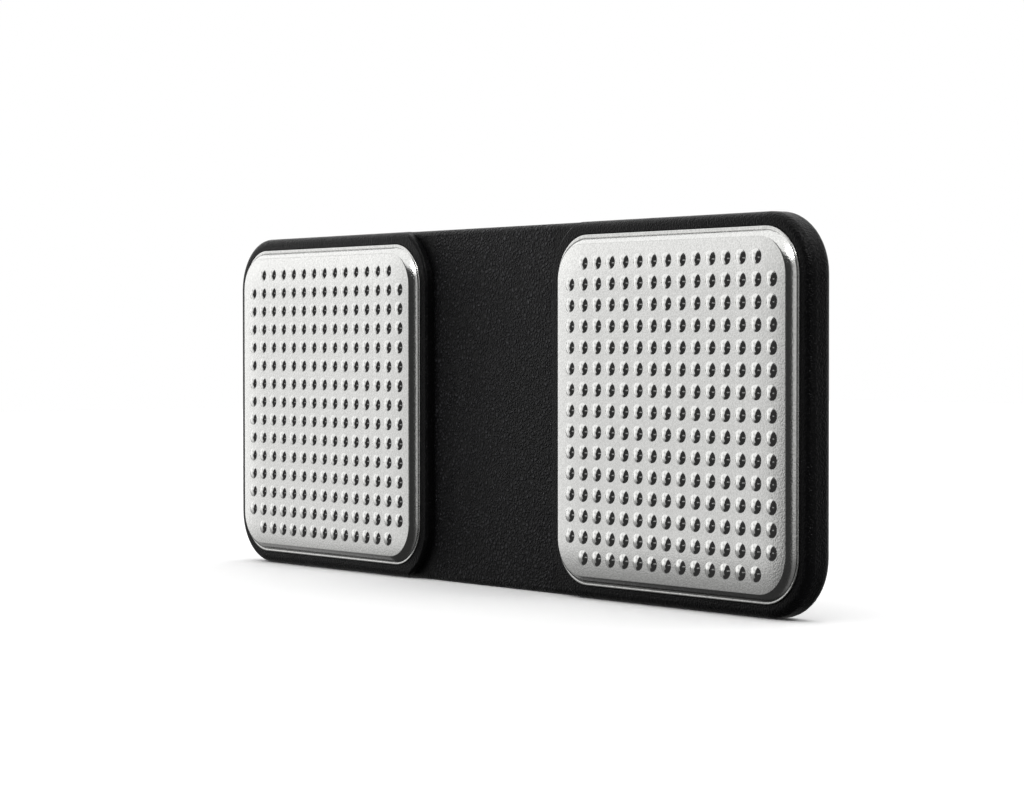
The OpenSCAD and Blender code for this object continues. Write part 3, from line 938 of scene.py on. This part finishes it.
@dataclass
class Studio:
    """A white sweep, a window of light at the left front, and a dark card at the right front.

    The world holds what the metal mirrors, by its direction, so the floor lets mirrored rays
    through, except beside the object, where it shows them a painted shade: a dark glow. The
    card's place gives each dot its dark side, and a slot in the card keeps the electrodes from
    going black when they are seen from the front.
    The card's left side leans further left towards the floor, by card_lean at lean_low.

    Lengths are in millimetres. Turns are in degrees, from straight in front of the electrodes
    towards +X. Heights in the world are the upward part of a direction, and places along the
    window are sines of the angle from its plane. Softness is half the width of an edge.
    """

    backdrop: float = 1.0
    softness: float = 0.04
    window_turn: float = -12.0
    window_near: float = 0.7
    window_far: float = 1.19
    window_near_place: float = -0.5
    window_far_place: float = -0.85
    window_rise: float = 0.3
    window_rise_top: float = 0.09
    softbox: float = 1.3
    softbox_place: float = -0.8
    dip: float = 0.8
    dip_low: float = 0.24
    ceiling: float = 1.15
    ceiling_low: float = 0.42
    light_floor: float = 0.86
    light_floor_top: float = -0.03
    dark_floor_top: float = -0.5
    card: float = 0.035
    card_left: float = -31.0
    card_right: float = 64.0
    card_top: float = 0.67
    card_lean: float = 8.5
    lean_low: float = -0.085
    lean_high: float = 0.04
    slot: float = 0.55
    slot_reach: float = 6.5
    slot_low: float = -0.12
    slot_high: float = -0.01
    right_light: float = 0.6
    back_card: float = 0.15
    back_card_front: float = 105.0
    lamp: float = 20.0
    lamp_way: Point = (0.6, -0.24, 0.76)
    lamp_cosine: float = 0.985
    lamp_softness: float = 0.01
    floor_size: float = 1200.0
    floor_seen: float = 1.35
    floor_bounce: float = 0.8
    # Where the painted shade lies on the floor beside the object, which only mirrored rays see.
    shade_start: float = -18.0
    shade_end: float = 47.0
    narrow_shade: float = 0.4
    narrow_shade_x: float = -35.0
    wide_shade_x: float = 10.0

    def step(self, tree: Tree, value: Socket, low: float, high: float, rising: bool = True) -> Socket:
        """Adds a soft step.

        Args:
            tree: The node tree.
            value: What is compared.
            low: Where the step begins.
            high: Where the step ends.
            rising: Whether the result is 1 above the step, rather than below it.

        Returns:
            A socket that goes smoothly between 0 and 1.
        """
        ends = {"To Min": 0.0 if rising else 1.0, "To Max": 1.0 if rising else 0.0}
        limits = {"Value": value, "From Min": low, "From Max": high, **ends}
        return add(tree, "ShaderNodeMapRange", limits, interpolation_type="SMOOTHSTEP").outputs["Result"]

    def about(self, tree: Tree, value: Socket, at: float, rising: bool = True) -> Socket:
        """Adds a soft step of the world's usual softness about a place."""
        return self.step(tree, value, at - self.softness, at + self.softness, rising)

    def lay(self, tree: Tree, under: Socket, level: float, masks: list[Socket]) -> Socket:
        """Lays a light over the light under it, where all its masks are 1.

        Args:
            tree: The node tree.
            under: The light that is there already.
            level: The strength of the light that is laid.
            masks: What the light is limited by.

        Returns:
            The strength of both together.
        """
        cover = masks[0]
        for mask in masks[1:]:
            cover = add(tree, "ShaderNodeMath", {0: cover, 1: mask}, operation="MULTIPLY").outputs[0]
        inputs = {Mix.FACTOR: cover, Mix.FIRST: under, Mix.SECOND: level}
        return add(tree, "ShaderNodeMix", inputs).outputs[0]

    def past(self, tree: Tree, direction: Socket, turn: float) -> Socket:
        """Measures how far a direction is to the right of an upright plane.

        Args:
            tree: The node tree.
            direction: The direction, of length 1.
            turn: The plane's turn.

        Returns:
            The sine of the angle between the level direction and the plane.
        """
        across = (math.cos(math.radians(turn)), math.sin(math.radians(turn)), 0.0)
        facing = {0: direction, 1: across}
        return add(tree, "ShaderNodeVectorMath", facing, operation="DOT_PRODUCT").outputs["Value"]

    def surroundings(self, tree: Tree, direction: Socket, z: Socket) -> Socket:
        """Adds the window, what is above and below it, and the softbox at its far end.

        Args:
            tree: The world's node tree.
            direction: The direction, of length 1.
            z: The direction's upward part.

        Returns:
            The light's strength.
        """
        along = self.past(tree, direction, self.window_turn)
        across = {
            "Value": along,
            "From Min": self.window_far_place,
            "From Max": self.window_near_place,
            "To Min": self.window_far,
            "To Max": self.window_near,
        }
        window = add(tree, "ShaderNodeMapRange", across).outputs["Result"]
        up = {"Value": z, "From Max": self.window_rise_top, "To Min": 1.0, "To Max": 1.0 + self.window_rise}
        rise = add(tree, "ShaderNodeMapRange", up).outputs["Result"]
        light = add(tree, "ShaderNodeMath", {0: window, 1: rise}, operation="MULTIPLY").outputs[0]
        tiers = (
            (self.dip, self.dip_low, True),
            (self.ceiling, self.ceiling_low, True),
            (self.light_floor, self.light_floor_top, False),
            (self.card, self.dark_floor_top, False),
        )
        for level, place, upwards in tiers:
            light = self.lay(tree, light, level, [self.about(tree, z, place, upwards)])
        return self.lay(tree, light, self.softbox, [self.about(tree, along, self.softbox_place, False)])

    def hang_card(self, tree: Tree, direction: Socket, z: Socket, light: Socket) -> Socket:
        """Hangs the dark card in the light, with its slot and with what is past its right side.

        Args:
            tree: The world's node tree.
            direction: The direction, of length 1.
            z: The direction's upward part.
            light: The light's strength without the card.

        Returns:
            The light's strength with the card.
        """
        leaning = {
            "Value": z,
            "From Min": self.lean_low,
            "From Max": self.lean_high,
            "To Min": math.sin(math.radians(self.card_lean)),
            "To Max": 0.0,
        }
        lean = add(tree, "ShaderNodeMapRange", leaning).outputs["Result"]
        past_left = self.past(tree, direction, self.card_left)
        past_lean = add(tree, "ShaderNodeMath", {0: past_left, 1: lean}).outputs[0]
        card = [self.about(tree, past_lean, 0.0), self.about(tree, z, self.card_top, False)]
        slot = [
            self.about(tree, self.past(tree, direction, -self.slot_reach), 0.0),
            self.about(tree, self.past(tree, direction, self.slot_reach), 0.0, False),
            self.about(tree, z, self.slot_low),
            self.about(tree, z, self.slot_high, False),
        ]
        light = self.lay(tree, self.lay(tree, light, self.card, card), self.slot, slot)
        for level, turn in ((self.right_light, self.card_right), (self.back_card, self.back_card_front)):
            beyond = self.about(tree, self.past(tree, direction, turn), 0.0)
            light = self.lay(tree, light, level, [*card, beyond])
        return light

    def near_lamp(self, tree: Tree, direction: Socket) -> Socket:
        """Finds the lamp above the right end.

        Args:
            tree: The world's node tree.
            direction: The direction, of length 1.

        Returns:
            1 at the lamp and 0 away from it.
        """
        toward = {0: direction, 1: tuple(Vector(self.lamp_way).normalized())}
        cosine = add(tree, "ShaderNodeVectorMath", toward, operation="DOT_PRODUCT").outputs["Value"]
        low, high = self.lamp_cosine - self.lamp_softness, self.lamp_cosine + self.lamp_softness
        return self.step(tree, cosine, low, high)

    def build_world(self) -> None:
        """Builds the light around the object, which the camera sees as a white backdrop."""
        world = bpy.data.worlds.new("studio_light")
        bpy.context.scene.world = world
        world.use_nodes = True
        tree = world.node_tree
        tree.nodes.clear()
        direction = add(tree, "ShaderNodeTexCoord").outputs["Generated"]
        z = add(tree, "ShaderNodeSeparateXYZ", {0: direction}).outputs["Z"]
        path = add(tree, "ShaderNodeLightPath")
        light = self.hang_card(tree, direction, z, self.surroundings(tree, direction, z))
        lamp = [self.near_lamp(tree, direction), path.outputs["Is Glossy Ray"]]
        light = self.lay(tree, light, self.lamp, lamp)
        light = self.lay(tree, light, self.backdrop, [path.outputs["Is Camera Ray"]])
        background = add(tree, "ShaderNodeBackground", {"Color": WHITE, "Strength": light})
        add(tree, "ShaderNodeOutputWorld", {"Surface": background.outputs[0]})

    def beside_object(self, tree: Tree) -> Socket:
        """Finds the strip of floor that gets the painted shade, which narrows towards -X.

        Args:
            tree: The floor's node tree.

        Returns:
            A share that falls to 0 away from the object.
        """
        place = add(tree, "ShaderNodeNewGeometry").outputs["Position"]
        x, y, _ = add(tree, "ShaderNodeSeparateXYZ", {0: place}).outputs
        away = add(tree, "ShaderNodeMath", {0: y}, operation="ABSOLUTE").outputs[0]
        narrowing = {
            "Value": x,
            "From Min": self.narrow_shade_x * MM,
            "From Max": self.wide_shade_x * MM,
            "To Min": self.narrow_shade,
            "To Max": 1.0,
        }
        width = add(tree, "ShaderNodeMapRange", narrowing, interpolation_type="SMOOTHSTEP").outputs["Result"]
        share = add(tree, "ShaderNodeMath", {0: away, 1: width}, operation="DIVIDE").outputs[0]
        return self.step(tree, share, self.shade_start * MM, self.shade_end * MM, False)

    def paper(self) -> bpy.types.Material:
        """Builds the floor's white paper, which mirrored rays pass, except beside the object, where they
        meet a painted shade: a dark glow.

        Returns:
            The paper's material.
        """
        material, tree = new_material("white_paper_sweep")
        path = add(tree, "ShaderNodeLightPath")
        tones = {
            Mix.FACTOR: path.outputs["Is Camera Ray"],
            Mix.FIRST: self.floor_bounce,
            Mix.SECOND: self.floor_seen,
        }
        paper = add(tree, "ShaderNodeBsdfDiffuse", {"Color": add(tree, "ShaderNodeMix", tones).outputs[0]})
        # A painted shade: a dark glow on the floor that only mirrored rays see.
        painted_shade = add(tree, "ShaderNodeEmission", {"Strength": self.card})
        clear = add(tree, "ShaderNodeBsdfTransparent")
        ends = {0: self.beside_object(tree), 1: clear.outputs[0], 2: painted_shade.outputs[0]}
        mirrored = add(tree, "ShaderNodeMixShader", ends)
        rays = {0: path.outputs["Is Glossy Ray"], 1: path.outputs["Is Transmission Ray"]}
        either = add(tree, "ShaderNodeMath", rays, operation="MAXIMUM")
        both = {0: either.outputs[0], 1: paper.outputs[0], 2: mirrored.outputs[0]}
        surface = add(tree, "ShaderNodeMixShader", both)
        add(tree, "ShaderNodeOutputMaterial", {"Surface": surface.outputs[0]})
        return material

    def build_floor(self) -> None:
        """Builds the pale floor, which keeps the object's shadow."""
        mesh = bpy.data.meshes.new("studio_floor")
        half = self.floor_size * MM / 2
        corners = [(-half, -half, 0), (half, -half, 0), (half, half, 0), (-half, half, 0)]
        mesh.from_pydata(corners, [], [(0, 1, 2, 3)])
        mesh.materials.append(self.paper())
        floor = bpy.data.objects.new("studio_floor", mesh)
        bpy.context.scene.collection.objects.link(floor)

    def build(self) -> None:
        """Builds the floor and the light."""
        self.build_floor()
        self.build_world()
        log.info("built the studio")


@dataclass
class Viewpoint:
    """The photograph's camera: its place in millimetres, its turn in degrees and its lens."""

    place: Point = (192.86, -147.41, 21.46)
    turn: Point = (88.861, 0.037, 52.24)
    focal_pixels: float = 2730.2
    image_width: float = 1024.0
    sensor: float = 36.0
    clip_near: float = 10.0
    clip_far: float = 10000.0

    def build(self) -> None:
        """Makes the camera and gives it to the scene."""
        data = bpy.data.cameras.new("photo_camera")
        data.sensor_width = self.sensor
        data.lens = self.focal_pixels / self.image_width * self.sensor
        data.clip_start, data.clip_end = self.clip_near * MM, self.clip_far * MM
        camera = bpy.data.objects.new("photo_camera", data)
        camera.location = Vector(self.place) * MM
        camera.rotation_euler = [math.radians(angle) for angle in self.turn]
        bpy.context.scene.collection.objects.link(camera)
        bpy.context.scene.camera = camera
        log.info("set the camera")


def main() -> None:
    """Builds the camera, the studio and every piece, in order."""
    logging.basicConfig(level=logging.INFO, format="%(name)s: %(message)s")
    bpy.context.scene.view_settings.view_transform = "Standard"
    Viewpoint().build()
    Studio().build()
    Casing().build()
    Electrodes().build()
    Works().build()


if __name__ == "__main__":
    main()
